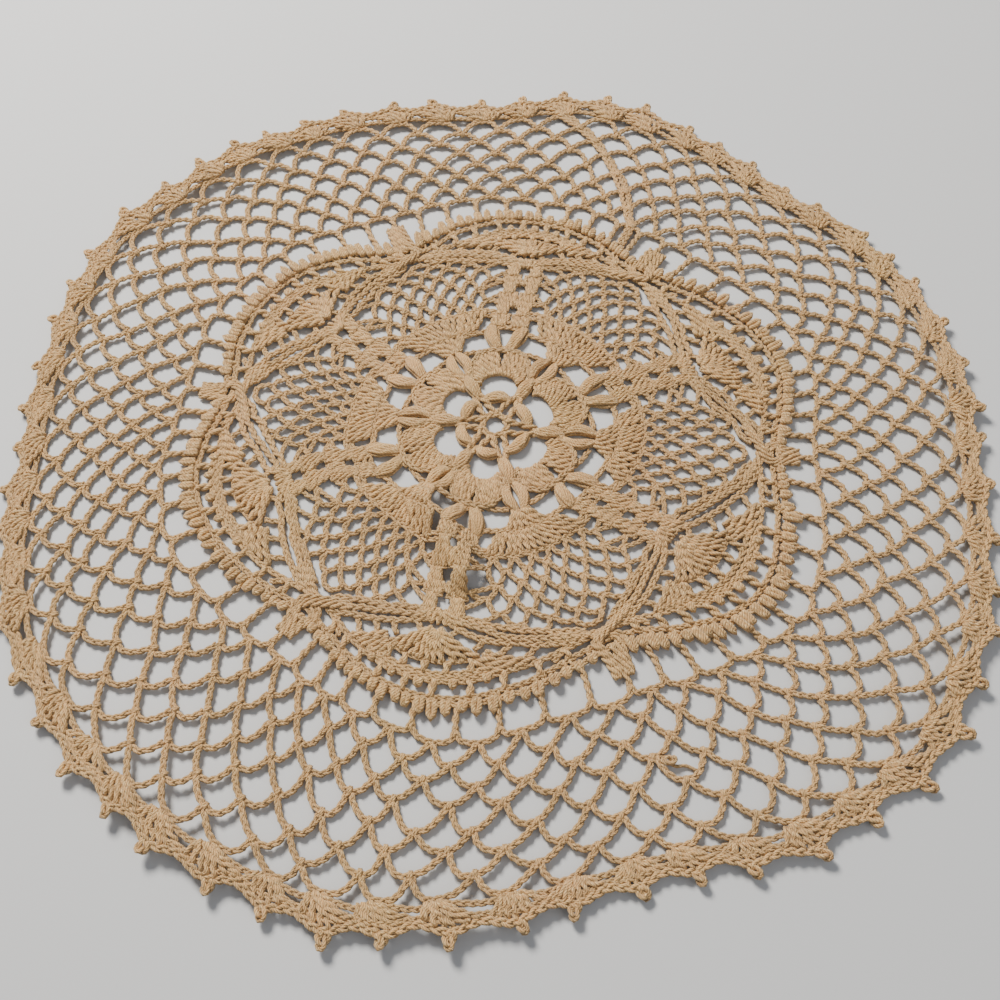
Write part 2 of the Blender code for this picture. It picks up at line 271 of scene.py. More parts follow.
class Work:
    """The cords of one piece, gathered into one mesh. Each corner gets a place round and along its cord, each point an
    amount of painted shade, more where it lies low in the work or faces down, and a tone of its own cord.
    """

    def __init__(self, name):
        self.name = name
        self.points, self.quads, self.threes = [], [], []
        self.quad_uv, self.three_uv = [], []
        self.deep, self.shade = [], []
        self.count = 0
        self.triangles = 0

    def strand(self, line, radius, up=(0.0, 0.0, 1.0), sides=5, closed=False, deep=0.3, shade=None, cap=0.7):
        n = len(line)
        t = tangents(line, closed)
        up = np.broadcast_to(np.asarray(up, float), line.shape)
        side = np.cross(t, up)
        side /= np.maximum(np.linalg.norm(side, axis=1, keepdims=True), 1e-12)
        top = np.cross(side, t)
        radius = np.broadcast_to(np.asarray(radius, float), (n,))
        turn = 2 * np.pi * (np.arange(sides) + 0.5) / sides
        ring = np.cos(turn)[None, :, None] * side[:, None, :] + np.sin(turn)[None, :, None] * top[:, None, :]
        points = line[:, None, :] + radius[:, None, None] * ring
        deep = np.broadcast_to(np.asarray(deep, float), (n,))
        # painted shade: the points of each ring that face down get darker
        under = 0.22 * (1 - ring[:, :, 2]) / 2
        painted_shade_here = np.clip(deep[:, None] + under, 0, 1)
        length = np.concatenate([[0.0], np.cumsum(np.linalg.norm(np.diff(line, axis=0), axis=1))])
        v = length / YARN_PITCH + rng.uniform(0, 1)
        rows = n if closed else n - 1
        i = np.arange(rows)[:, None]
        j = np.arange(sides)[None, :]
        a = self.count + i * sides + j
        b = self.count + i * sides + (j + 1) % sides
        c = self.count + ((i + 1) % n) * sides + (j + 1) % sides
        d = self.count + ((i + 1) % n) * sides + j
        self.quads.append(np.stack([a, d, c, b], -1).reshape(-1, 4))
        u0, u1 = np.broadcast_to(j / sides, a.shape), np.broadcast_to((j + 1) / sides, a.shape)
        v0 = np.broadcast_to(v[:rows, None], a.shape)
        step = np.diff(v, append=v[-1] + (v[-1] - v[-2]))
        v1 = v0 + step[:rows, None]
        self.quad_uv.append(
            np.stack([np.stack([u0, v0], -1), np.stack([u0, v1], -1), np.stack([u1, v1], -1), np.stack([u1, v0], -1)], 2).reshape(-1, 4, 2)
        )
        self.points.append(points.reshape(-1, 3))
        self.deep.append(painted_shade_here.reshape(-1))
        own = rng.uniform(0, 1) if shade is None else shade
        total = n * sides
        if not closed:
            ends = np.stack([line[0] - t[0] * radius[0] * cap, line[-1] + t[-1] * radius[-1] * cap])
            self.points.append(ends)
            # painted shade: the end caps a little darker than their strand
            self.deep.append(np.full(2, deep.mean() + 0.1))
            k = np.arange(sides)
            first = np.stack([np.full(sides, self.count + total), self.count + k, self.count + (k + 1) % sides], -1)
            base = self.count + (n - 1) * sides
            last = np.stack([np.full(sides, self.count + total + 1), base + (k + 1) % sides, base + k], -1)
            self.threes += [first, last]
            f = np.zeros((sides, 3, 2))
            f[:, 0, 0], f[:, 1, 0], f[:, 2, 0] = (k + 0.5) / sides, k / sides, (k + 1) / sides
            f[:, :, 1] = v[0]
            g = f.copy()
            g[:, :, 1] = v[-1]
            self.three_uv += [f, g]
            total += 2
            self.triangles += 2 * sides
        self.shade.append(np.full(total, own))
        self.count += total
        self.triangles += 2 * rows * sides

    def chain(self, points, height=0.0010, scale=1.0, closed=False, shade=None, wobble=0.0, ends=1.0):
        """A chain of stitches: three strands in a flat plait."""
        step = CHAIN_PITCH * scale / CHAIN_STEPS
        line, _ = centre_line(points, step, height, closed, CHAIN_STEPS if closed else 1, wobble)
        n = len(line)
        if n < 3:
            return
        t = tangents(line, closed)
        side = np.cross(t, (0.0, 0.0, 1.0))
        side /= np.linalg.norm(side, axis=1, keepdims=True)
        top = np.cross(side, t)
        phase = rng.uniform(0, 2 * np.pi)
        own = rng.uniform(0, 1) if shade is None else shade
        way = 2 * np.pi * np.arange(n) / CHAIN_STEPS
        fade = np.ones(n)
        if not closed and ends < 1:
            fade = ends + (1 - ends) * np.minimum(1, np.minimum(np.arange(n), np.arange(n)[::-1]) / 3)
        for k in range(3):
            a = way + phase + 2 * np.pi * k / 3
            across = CHAIN_ACROSS * scale * fade * np.sin(a)
            lift = CHAIN_RISE * scale * np.sin(2 * a)
            strand = line + side * across[:, None] + top * lift[:, None]
            # painted shade: each strand darker where it dips under the other two of the plait
            deep = 0.30 - 0.30 * np.sin(2 * a)
            self.strand(strand, CHAIN_STRAND * scale * (1 + rng.normal(0, 0.06, n)), top, closed=closed, deep=deep, shade=np.clip(own + rng.uniform(-0.12, 0.12), 0, 1))

    def post(self, points, height=0.0010, scale=1.0, wobble=0.0, sides=5, steps=POST_STEPS):
        """A post: two strands twisted."""
        scale *= rng.uniform(0.95, 1.06)
        step = POST_PITCH * scale / steps
        line, _ = centre_line(points, step, height, wobble=wobble)
        n = len(line)
        t = tangents(line)
        side = np.cross(t, (0.0, 0.0, 1.0))
        side /= np.linalg.norm(side, axis=1, keepdims=True)
        top = np.cross(side, t)
        phase = rng.uniform(0, 2 * np.pi)
        own = rng.uniform(0, 1)
        way = 2 * np.pi * np.arange(n) / steps + phase
        for k in range(2):
            a = way + np.pi * k
            strand = line + POST_TURN * scale * (side * np.cos(a)[:, None] + top * np.sin(a)[:, None] * 0.8)
            # painted shade: each strand darker where it turns to the underside of the twist
            deep = 0.32 - 0.28 * np.sin(a)
            self.strand(strand, POST_STRAND * scale * (1 + rng.normal(0, 0.07, n)), top, sides=sides, deep=deep, shade=np.clip(own + rng.uniform(-0.12, 0.12), 0, 1))

    def puff(self, points, width, count=5, height=0.0013, crown=0.0010, strand=0.00062, tight=0.35, twist=0.5):
        """A bundle of cords that belly out between two tight ends: a leaf, a cluster or a petal."""
        step = 0.0012
        line, _ = centre_line(points, step, height)
        n = len(line)
        t = tangents(line)
        side = np.cross(t, (0.0, 0.0, 1.0))
        side /= np.linalg.norm(side, axis=1, keepdims=True)
        top = np.cross(side, t)
        way = np.linspace(0, 1, n)
        belly = tight + (1 - tight) * np.sin(np.pi * way) ** 0.8
        own = rng.uniform(0, 1)
        half = (width * MEAN_RADIUS) / 2 - strand
        for layer, (cords, lift) in enumerate(((count, 0.0), (max(2, count - 2), 1.0))):
            for k in range(cords):
                at = (2 * (k + 0.5) / cords - 1) * (1.0 if layer == 0 else 0.72)
                sway = at + twist * 0.25 * np.sin(2 * np.pi * way + 1.3 * k + layer)
                across = half * belly * sway
                up = crown * np.sin(np.pi * way) * (1 - 0.7 * at * at) * (0.35 + 0.65 * lift) + lift * 0.0004
                up = up + 0.00012 * np.sin(2 * np.pi * way * 3 + 2 * k)
                strand_line = line + side * across[:, None] + top * up[:, None]
                fat = strand * (0.82 + 0.18 * np.sin(np.pi * way))
                # painted shade: the lower layer of cords and the tight ends darker
                self.strand(strand_line, fat, top, deep=0.42 - 0.28 * lift - 0.1 * np.sin(np.pi * way), shade=np.clip(own + rng.uniform(-0.2, 0.2), 0, 1))

    def hairpin(self, axis_point, direction, length, half, radius, height=0.0010, sides=5, twisted=False, lean=0.0):
        """A small loop that stands out from an edge: out on one side and back on the other. axis_point and direction are in the chart."""
        d = direction / np.linalg.norm(direction)
        e = np.array([-d[1], d[0]])
        shape = [(-0.75, 0.0), (-1.0, 0.45), (-0.66, 0.86), (0.0, 1.0), (0.66, 0.86), (1.0, 0.45), (0.75, 0.0)]
        points = [axis_point + e * half * (a + lean * b) + d * length * b for a, b in shape]
        if twisted:
            self.post(points, height, 1.22, steps=11)
        else:
            line, _ = centre_line(points, length * MEAN_RADIUS * 0.24, height)
            self.strand(line, radius, deep=0.25, sides=sides)

    def wrap(self, place, direction, half=0.0085, height=0.0011, radius=0.00050, gap=0.0034):
        """A double crochet that closes over the chain below it: two short cords up over it and down. direction is the way in which they cross the chain."""
        d = direction / np.linalg.norm(direction)
        e = np.array([-d[1], d[0]])
        own = rng.uniform(0, 1)
        for s in (-1, 1):
            base = place + e * gap * s
            ends = laid(np.array([base - d * half, base + d * half]))
            middle = ends.mean(0)
            along = ends[1] - ends[0]
            reach = np.linalg.norm(along) / 2
            along /= 2 * reach
            floor = ground(middle[None])[0]
            turn = np.radians([-8, 34, 68, 112, 146, 188])
            line = np.stack([np.append(middle + along * reach * -math.cos(a), floor + height - 0.0002 + reach * 0.82 * math.sin(a)) for a in turn])
            normal = np.append([-along[1], along[0]], 0.0)
            # painted shade: darker at both ends, where the cord goes down beside the chain
            self.strand(line, radius, normal, deep=np.array([0.6, 0.3, 0.1, 0.1, 0.3, 0.6]), shade=own)

    def finished(self, material):
        points = np.concatenate(self.points).astype(np.float32)
        points[:, 2] = np.maximum(points[:, 2], 0.00005)  # pressed flat where it lies on the surface
        quads, threes = np.concatenate(self.quads), np.concatenate(self.threes)
        loops = np.concatenate([quads.reshape(-1), threes.reshape(-1)]).astype(np.int32)
        totals = np.concatenate([np.full(len(quads), 4), np.full(len(threes), 3)]).astype(np.int32)
        starts = np.concatenate([[0], np.cumsum(totals)[:-1]]).astype(np.int32)
        uv = np.concatenate([np.concatenate(self.quad_uv).reshape(-1), np.concatenate(self.three_uv).reshape(-1)])
        mesh = bpy.data.meshes.new(self.name)
        mesh.vertices.add(len(points))
        mesh.vertices.foreach_set("co", points.reshape(-1))
        mesh.loops.add(len(loops))
        mesh.loops.foreach_set("vertex_index", loops)
        mesh.polygons.add(len(totals))
        mesh.polygons.foreach_set("loop_start", starts)
        mesh.polygons.foreach_set("loop_total", totals)
        mesh.update(calc_edges=True)
        mesh.validate()
        mesh.uv_layers.new(name="yarn").data.foreach_set("uv", uv.astype(np.float32))
        for name, values in (("deep", self.deep), ("shade", self.shade)):
            mesh.attributes.new(name, "FLOAT", "POINT").data.foreach_set("value", np.concatenate(values).astype(np.float32))
        mesh.shade_smooth()
        mesh.materials.append(material)
        piece = bpy.data.objects.new(self.name, mesh)
        bpy.context.scene.collection.objects.link(piece)
        print(self.name, "triangles", self.triangles)
        return piece


# ---------------------------------------------------------------- the middle of one repeat
ARCH_OUT = 0.109  # middle of the gap inside each arch of trebles
ARCH_GAP = (0.0385, 0.0245)  # half sizes of the gap, across and out
ARCH_RIM = (0.0570, 0.0820, 0.62)  # half sizes of the outer rim, and how square it is


def rim_point(axis, turn, grow=0.0):
    across, out, square = ARCH_RIM
    a = math.radians(turn)
    s, c = math.sin(a), math.cos(a)
    return local(axis, (across + grow) * math.copysign(abs(s) ** square, s), ARCH_OUT + (out + grow) * math.copysign(abs(c) ** square, c))


def gap_point(axis, turn, grow=0.0):
    a = math.radians(turn)
    return local(axis, (ARCH_GAP[0] + grow) * math.sin(a), ARCH_OUT + (ARCH_GAP[1] + grow) * math.cos(a))


def make_heart(work, high, pine, fan):
    for s in (-1, 1):
        work.post([local(pine, s * 0.0120, 0.025), local(pine, s * 0.0110, 0.050), local(pine, s * 0.0060, 0.084)], [0.0013, 0.0013, 0.0014], 1.36)
        leaf = [local(pine, s * 0.0055, 0.140), local(pine, s * 0.0165, 0.172), local(pine, s * 0.0065, 0.212)]
        high.puff(leaf, 0.0300, 6, 0.0012, 0.0012)
        arm = [local(fan, s * 0.0105, 0.200), local(fan, s * 0.0245, 0.228), local(fan, s * 0.0345, 0.262)]
        high.puff(arm, 0.0390, 8, 0.0012, 0.0012, tight=0.50)
    high.puff([local(pine, 0.0, 0.080), local(pine, 0.0, 0.110), local(pine, 0.0, 0.143)], 0.0385, 7, 0.0012, 0.0014)
    high.puff([local(fan, -0.029, 0.0625), local(fan, 0.0, 0.0720), local(fan, 0.029, 0.0625)], 0.0350, 7, 0.0012, 0.0014, tight=0.25)
    # the arch: a chain round its gap, trebles over the chain, and a rim of stitch tops
    work.chain([gap_point(fan, a, 0.0015) for a in range(-100, 101, 20)], 0.0009, 0.72)
    for a in np.linspace(-88, 88, 24):
        bend = rng.normal(0, 0.0016)
        middle = (gap_point(fan, a) + rim_point(fan, a)) / 2 + local(fan, bend, 0.0)
        work.post([gap_point(fan, a, -0.002), middle, rim_point(fan, a)], [0.0013, 0.0018, 0.0014], 1.16)
    high.chain([rim_point(fan, a, 0.004) for a in range(-92, 93, 8)], 0.0019, 0.95)
    work.chain([local(fan, -0.030, 0.1970), local(fan, -0.014, 0.2035), local(fan, 0.0, 0.2050), local(fan, 0.014, 0.2035), local(fan, 0.030, 0.1970)], 0.0012, 0.78)
    for s in (-1, 1):
        work.chain([polar(fan + s * a, r) for a, r in ((10.5, 0.1950), (15.0, 0.1985), (19.5, 0.2000), (23.5, 0.2010))], 0.0011, 0.84)
    # over the foot of the pineapple: its first two rows, spread from one place
    for t in np.linspace(-1, 1, 7):
        work.post([polar(pine + 3.6 * t, 0.2080), polar(pine + 6.4 * t, 0.2290), polar(pine + 9.0 * t, 0.2500)], [0.0016, 0.0013, 0.0012], 1.22, wobble=0.0008)
    for s in (-1, 1):
        loop = [(4.5, 0.2150), (8.5, 0.2440), (13.0, 0.2490), (18.5, 0.2500), (23.5, 0.2540)]
        work.chain([polar(pine + s * a, r) for a, r in loop], 0.0011, 0.92)
    work.chain([polar(pine + a, 0.2545) for a in np.linspace(-13, 13, 7)], 0.0015, 0.74)
    for t in np.linspace(-1, 1, 16):
        t += rng.normal(0, 0.012)
        work.post([polar(pine + 13.5 * t, 0.2560), polar(pine + 16.3 * t, 0.2800), polar(pine + 18.4 * t, 0.3040)], [0.0013, 0.0014, 0.0013], 1.22, wobble=0.0012)
    work.chain([polar(pine + a, 0.3070 - 0.00018 * (abs(a) > 18) * (abs(a) - 18) ** 2) for a in np.linspace(-23.5, 23.5, 13)], 0.0013, 0.86, wobble=0.0008)
    for s in (-1, 1):
        work.chain([polar(pine + s * a, r) for a, r in ((16.8, 0.2955), (19.5, 0.2945), (23.2, 0.2900))], 0.0011, 0.84)


# ---------------------------------------------------------------- the pineapple
MESH_STEP = 6.5  # degrees between the loops of a row
MESH_ROWS = [0.335, 0.366, 0.396, 0.427, 0.456, 0.482, 0.507]
MESH_SIDE = [
    # (radius, degrees from the pineapple's axis to the band that closes it in)
    (0.300, 24.0),
    (0.360, 23.8),
    (0.410, 23.6),
    (0.435, 22.6),
    (0.452, 19.2),
    (0.468, 15.2),
    (0.485, 11.2),
    (0.502, 7.2),
    (0.520, 3.0),
]
FLANK = [
    # (degrees from the pineapple's axis, radius): each is the foot of one shell of the band, and the top of the last
    (24.8, 0.262),
    (25.8, 0.292),
    (26.3, 0.350),
    (26.6, 0.401),
    (26.4, 0.445),
    (20.2, 0.466),
    (14.2, 0.489),
    (8.4, 0.510),
    (3.3, 0.528),
    (-2.0, 0.557),
    (-1.3, 0.598),
    (-1.0, 0.636),
]


def side(radius):
    return float(np.interp(radius, [row[0] for row in MESH_SIDE], [row[1] for row in MESH_SIDE]))


def arch(work, first, last, top, scale=1.0, roundness=(0.65, 0.65), height=(0.0013, 0.0010, 0.0009, 0.0010, 0.0013), foot=0.005, spread=0.0035, out=None):
    """A loop of chain from one knot to the next, with its top where the next round takes hold. All in the chart."""
    first, last, top = (np.asarray(p, float) for p in (first, last, top))
    middle = (first + last) / 2
    across = last - first
    across /= np.linalg.norm(across)
    up = top - middle
    up /= np.linalg.norm(up)
    if out is not None:
        up = out
    points = []
    for foot_point, s, w in ((first, 1, roundness[0]), (last, -1, roundness[1])):
        a = foot_point + up * foot + across * spread * s
        w = np.clip(w + rng.normal(0, 0.10), 0, 1.15)
        rise = top - a
        way_up = up * (rise @ up)
        way_across = rise - way_up
        low = way_across * (0.36 - 0.24 * w) + way_up * (0.34 + 0.16 * w)
        high = way_across * (0.68 - 0.20 * w) + way_up * (0.66 + 0.31 * w)
        points.append([a, a + low, a + high])
    work.chain(points[0] + [top] + points[1][::-1], height, scale, wobble=0.0006)


def make_mesh(work, pine):
    below, low = {}, 0.3075
    for level, radius in enumerate(MESH_ROWS):
        shift = 0.5 * (level % 2)
        row = {}
        for j in range(-4, 5):
            a = (j + shift) * MESH_STEP
            if abs(a) > side(radius) - 1.4:
                continue
            row[round(a, 2)] = polar(pine + a + rng.normal(0, 0.25), radius + rng.normal(0, 0.0012))
        for a, top in row.items():
            feet = []
            for s in (-1, 1):
                b = round(a + s * MESH_STEP / 2, 2)
                if b in below:
                    feet.append(below[b])
                elif level == 0 and abs(b) < 18.5:
                    feet.append(polar(pine + b, low))
                else:
                    between = (low + radius) / 2 + 0.002
                    feet.append(polar(pine + math.copysign(side(between), b), between))
            lean = 0.25 * math.sin(0.35 * a + pine)
            arch(work, feet[0], feet[1], top, 0.86, (0.80 + lean, 0.80 - lean), foot=0.003, spread=0.003, out=polar(pine + a, 1.0))
        for s in (-1, 1):
            a = max(row) * s if level % 2 == 0 else (max(row) if s > 0 else min(row))
            end = row.get(round(a, 2))
            if end is None or level > 4:
                continue
            reach = radius + (0.020, 0.026, 0.022, 0.017, 0.008)[level]
            if side(reach) - abs(a) > 2.6:
                target = polar(pine + s * (side(reach) + (1.8, 1.8, 1.8, 0.6, 0.6)[level]), reach)
                work.chain([end, (end + target) / 2 + polar(pine, 0.002), target], 0.0011, 0.74)
        below, low = row, radius


def make_bands(work, high, pine):
    """The two bands that close the pineapple in and cross over its tip: shells of two and two posts, each worked in the last."""
    for s in (-1, 1):
        stations = np.array([polar(pine + s * a, r) for a, r in FLANK])
        way = tangents(stations)
        normal = way[:, ::-1] * [-1, 1]
        n = len(stations)
        bend = n - 8  # up to here it runs out along the fan's axis, in shells
        for j in range(bend):
            for o in (-0.0155, -0.0093, -0.0031, 0.0031, 0.0093, 0.0155):
                o += rng.normal(0, 0.0008)
                start = stations[j] + normal[j] * o * (0.80 if j == 0 else 0.46) + way[j] * 0.001
                end = stations[j + 1] + normal[j + 1] * o - way[j + 1] * (0.001 + 0.12 * abs(o))
                high.post([start, (start + end) / 2, end], [0.0015, 0.0014, 0.0013], 1.02, wobble=0.0009)
            tops = [stations[j + 1] + normal[j + 1] * o + way[j + 1] * (0.002 - 0.14 * abs(o)) for o in (-0.0200, -0.0085, 0.0, 0.0085, 0.0200)]
            high.chain(tops, 0.0015, 0.70)
        # then in long strands beside each other, over the top of the pineapple
        last = n - 4
        for k, o in enumerate((-0.0152, 0.0, 0.0152)):
            points = []
            for j in range(bend, last + 1):
                spread = 0.70 if j == bend else 0.62 if j == last else 1.0
                points.append(stations[j] + normal[j] * (o * spread + rng.normal(0, 0.0020)))
                if j < last:
                    points.append((stations[j] + stations[j + 1]) / 2 + (normal[j] + normal[j + 1]) / 2 * (o * 1.12 + rng.normal(0, 0.0024)))
            high.chain(points, 0.0013 + 0.0004 * (k % 2), 1.00, wobble=0.0014)
        # and in three strands past its tip, over the other band
        over = 0.0008 if s > 0 else 0.0
        for o in (-0.0062, 0.0, 0.0062):
            points = [stations[j] + normal[j] * (o * (1.0 if j > last else 0.8) + rng.normal(0, 0.0006)) for j in range(last - 1, n)]
            high.post(points, [0.0013, 0.0014 + over, 0.0015 + over, 0.0013, 0.0012], 1.08, wobble=0.0010)


# ---------------------------------------------------------------- the outer fan and the medallion's edge
FAN_HUB = 0.468
SHARES = (0.0, 0.2, 0.5, 0.8, 1.0)  # from a fan's axis to a pineapple's
LADDER_IN = (0.593, 0.589, 0.565, 0.542, 0.532)
LADDER_OUT = (0.6275, 0.6220, 0.5980, 0.5680, 0.5560)
FINGER_BASE = (0.6400, 0.6350, 0.6150, 0.5860, 0.5740)


def profile(row, angle):
    """Radius of one line of the edge at an angle of the chart."""
    t = abs((angle - FAN_AXIS + 30.0) % 60.0 - 30.0) / 30.0
    knots = np.array(SHARES)
    i = int(np.clip(np.searchsorted(knots, t) - 1, 0, 3))
    u = (t - knots[i]) / (knots[i + 1] - knots[i])
    return row[i] + (row[i + 1] - row[i]) * (u * u * (3 - 2 * u) * 0.4 + 0.6 * u)


def make_fan(work, high, fan):
    def fan_point(turn, distance):
        a = math.radians(turn)
        return local(fan, distance * math.sin(a), FAN_HUB + distance * math.cos(a))

    def inner_end(turn):
        angle = fan + 17.5 * turn / 64.0
        return polar(angle, profile(LADDER_IN, angle) - 0.006)

    def rib_end(turn):
        return 0.0765 + 0.0000060 * turn * turn

    for a in np.linspace(-56, 56, 11):
        a += rng.normal(0, 0.9)
        high.post([fan_point(a, 0.008), fan_point(a, 0.042), fan_point(a, rib_end(a))], [0.0018, 0.0017, 0.0013], 1.36, wobble=0.0010)
    work.chain([fan_point(a, rib_end(a) + 0.002) for a in np.linspace(-57, 57, 9)], 0.0011, 0.62)
    for t in np.linspace(-1, 1, 7):
        high.post([polar(fan + 1.6 * t, 0.4290), polar(fan + 3.6 * t, 0.4450), polar(fan + 5.6 * t, 0.4600 - 0.006 * t * t)], [0.0015, 0.0016, 0.0013], 1.15)
    # a row of small holes over the ribs, then two ropes
    for x in np.linspace(-7.8, 7.8, 5):
        a = fan + x + rng.normal(0, 0.15)
        work.post([polar(a, 0.5480 - 0.00025 * x * x), polar(a + 0.1, 0.5600 - 0.00018 * x * x), polar(a, 0.5730 - 0.00012 * x * x)], 0.0013, 1.38)
    for r, reach in ((0.5760, 11.5), (0.5860, 13.5)):
        work.chain([polar(fan + a, r - 0.00016 * a * a) for a in np.linspace(-reach, reach, 8)], 0.0013, 0.94, wobble=0.0010)
    # long ribs on both sides, that lie flatter and flatter
    for s in (-1, 1):
        for t in np.linspace(0, 1, 4):
            foot, end = fan_point(s * (49 + 17 * t), 0.1010 - 0.004 * t), inner_end(s * (44 + 20 * t))
            work.post([foot, foot * 0.5 + end * 0.5 + polar(fan, 0.004), end], [0.0012, 0.0013, 0.0013], 1.32, wobble=0.0012)
    # where the two bands meet under the fan, and over the foot of the arms
    for r, reach in ((0.2600, 4.6), (0.2730, 4.0), (0.4345, 4.0), (0.4480, 4.4)):
        work.chain([polar(fan + a, r - 0.00012 * a * a) for a in np.linspace(-reach, reach, 4)], 0.0013, 0.80)
    for low, top in ((0.3140, 0.3480), (0.3760, 0.3960), (0.4290, 0.4420)):
        for o in (-1.1, 1.1):
            high.post([polar(fan + o, low), polar(fan + 0.6 * o, (low + top) / 2), polar(fan + o, top)], 0.0013, 1.25)
    # short bars that tie the fan to the bands on both sides
    for x, r in ((4.0, 0.4720), (9.2, 0.4945), (13.1, 0.5120), (17.0, 0.5330), (21.6, 0.5540)):
        for s in (-1, 1):
            work.chain([polar(fan + s * (x - 1.3), r + 0.0140), polar(fan + s * x, r), polar(fan + s * (x + 1.3), r - 0.0140)], 0.0011, 0.88)
    # bars between the two inner ropes, and over them
    for s in (-1, 1):
        for j in range(5):
            x = 2.6 + 5.1 * j + rng.normal(0, 0.2)
            a = fan + s * x
            low, top = profile(LADDER_IN, a), profile(LADDER_OUT, a)
            work.post([polar(a, low), polar(a + rng.normal(0, 0.15), (low + top) / 2), polar(a, top)], 0.0013, 1.45)
            if j < 3:
                knob = polar(a - s * 2.55, low + 0.002)
                high.hairpin(knob, polar(a, 1.0), 0.0150, 0.0030, 0.00095, 0.0016, lean=rng.normal(0, 0.2))
        for x in (13.0, 17.6, 22.2, 26.2):
            a = fan + s * (x + rng.normal(0, 0.3))
            low, top = profile(LADDER_OUT, a), profile(FINGER_BASE, a)
            for o in (-0.5, 0.5):
                work.post([polar(a + o, low), polar(a + o * 1.1, (low + top) / 2), polar(a + o * 1.3, top)], 0.0011, 1.0)
    span = fan + np.linspace(-30.4, 30.4, 22)
    work.chain([polar(a, profile(LADDER_IN, a)) for a in span], 0.0012, 0.88, wobble=0.0008)
    work.chain([polar(a, profile(LADDER_OUT, a) + 0.002) for a in span], 0.0012, 0.86, wobble=0.0008)
    work.chain([polar(a, profile(FINGER_BASE, a) + 0.003) for a in span], 0.0014, 0.90, wobble=0.0008)
    # the fingers: small closed picots side by side
    x = -26.2
    while x < 26.5:
        a = fan + x
        base = polar(a, profile(FINGER_BASE, a) - 0.003)
        length = 0.0262 - 0.008 * (x / 26.6) ** 4 + rng.normal(0, 0.0045)
        high.hairpin(base, polar(a, 1.0), length, 0.0046 + rng.normal(0, 0.0006), 0.00104, 0.0014 + rng.uniform(0, 0.0010), lean=rng.normal(0, 0.6))
        x += 2.0 + rng.normal(0, 0.28)


def make_repeat(work, high, k):
    """One repeat of the medallion: from the axis of one pineapple, past a fan, to the next."""
    fan, pine = FAN_AXIS + 60 * k, PINEAPPLE_AXIS + 60 * k
    if k == 0:
        work.chain([polar(a, 0.0260) for a in range(0, 360, 30)], 0.0014, 1.05, closed=True)
    make_heart(work, high, pine, fan)
    make_mesh(work, pine)
    make_bands(work, high, pine)
    make_fan(work, high, fan)


# ---------------------------------------------------------------- the net
SEAM = 7  # loop of each round where the rounds are joined


def post_top(j):
    """Top of one of the posts that carry the net, half way between two loops."""
    a, b = knot(1, j - 1), knot(1, j)
    return (a[0] + b[0]) / 2, (a[1] + b[1]) / 2 - 0.0215


LEAN = [-0.20, -0.20, -0.10, -0.25, -0.25, 0.00, 0.00, 0.00, -0.05, -0.15, -0.35, -0.50, -0.45, -0.30, -0.20, -0.45, -0.45, -0.05, 0.35, 0.15, -0.35, -0.55, -0.45, -0.25]


def lean(angle):
    """How far the loops of the net lean there: below 0 their far side is the steep one."""
    return float(around(LEAN, 15.0, 0.0, angle))


def make_net(work, first_loop, last_loop):
    for i in range(first_loop, last_loop):
        # round 1: posts that stand on the fingers' ropes, and flat loops between them
        angle, radius = post_top(i)
        foot = profile(FINGER_BASE, angle) + 0.002
        work.post([polar(angle + rng.normal(0, 0.25), foot), polar(angle, (foot + radius) / 2), polar(angle, radius)], [0.0016, 0.0013, 0.0012], 1.22, wobble=0.0012)
        after, top = post_top(i + 1), knot(1, i)
        a0, a1, t = polar(*post_top(i)), polar(*after), polar(*top)
        up = polar(top[0], 1.0)
        corner0 = a0 * 0.78 + t * 0.22 + up * 0.0130
        corner1 = a1 * 0.78 + t * 0.22 + up * 0.0130
        work.chain([a0, corner0, t, corner1, a1], [0.0014, 0.0010, 0.0009, 0.0010, 0.0014], 0.90, wobble=0.0006)
        for level in range(1, 8):
            first, last, top = knot(level, i), knot(level, i + 1), knot(level + 1, i)
            middle = (first[0] + last[0]) / 2
            out = polar(middle, 1.0)
            tilt = lean(middle) + rng.normal(0, 0.08)
            arch(work, polar(*first), polar(*last), polar(*top), 0.89, (0.72 + tilt, 0.72 - tilt), out=out)
            if level < 7:
                work.wrap(polar(*top), polar(top[0], 1.0), 0.0060, 0.0009, 0.00050, 0.0018)


def make_seam(work):
    knots = [polar(*knot(level, SEAM)) for level in range(1, 9)]
    start = knot(1, SEAM)
    foot = polar(start[0] - 0.5, float(medallion_edge(start[0])) - 0.015)
    points = [foot]
    for a, b in zip(knots, knots[1:]):
        points += [a + (b - a) * 0.05, a + (b - a) * 0.5 + polar(start[0] + 90, 0.004)]
    points.append(knots[-1])
    points = np.array(points)
    out = polar(68, 1.0)
    across = np.array([-out[1], out[0]])
    for s in (-1, 1):
        work.chain(points + across * 0.0060 * s, 0.0013, 0.86, wobble=0.0018)
    for level in range(1, 9):
        here = polar(*knot(level, SEAM))
        work.wrap(here, across + out * 0.3, 0.0100, 0.0009, 0.00054, 0.0022)


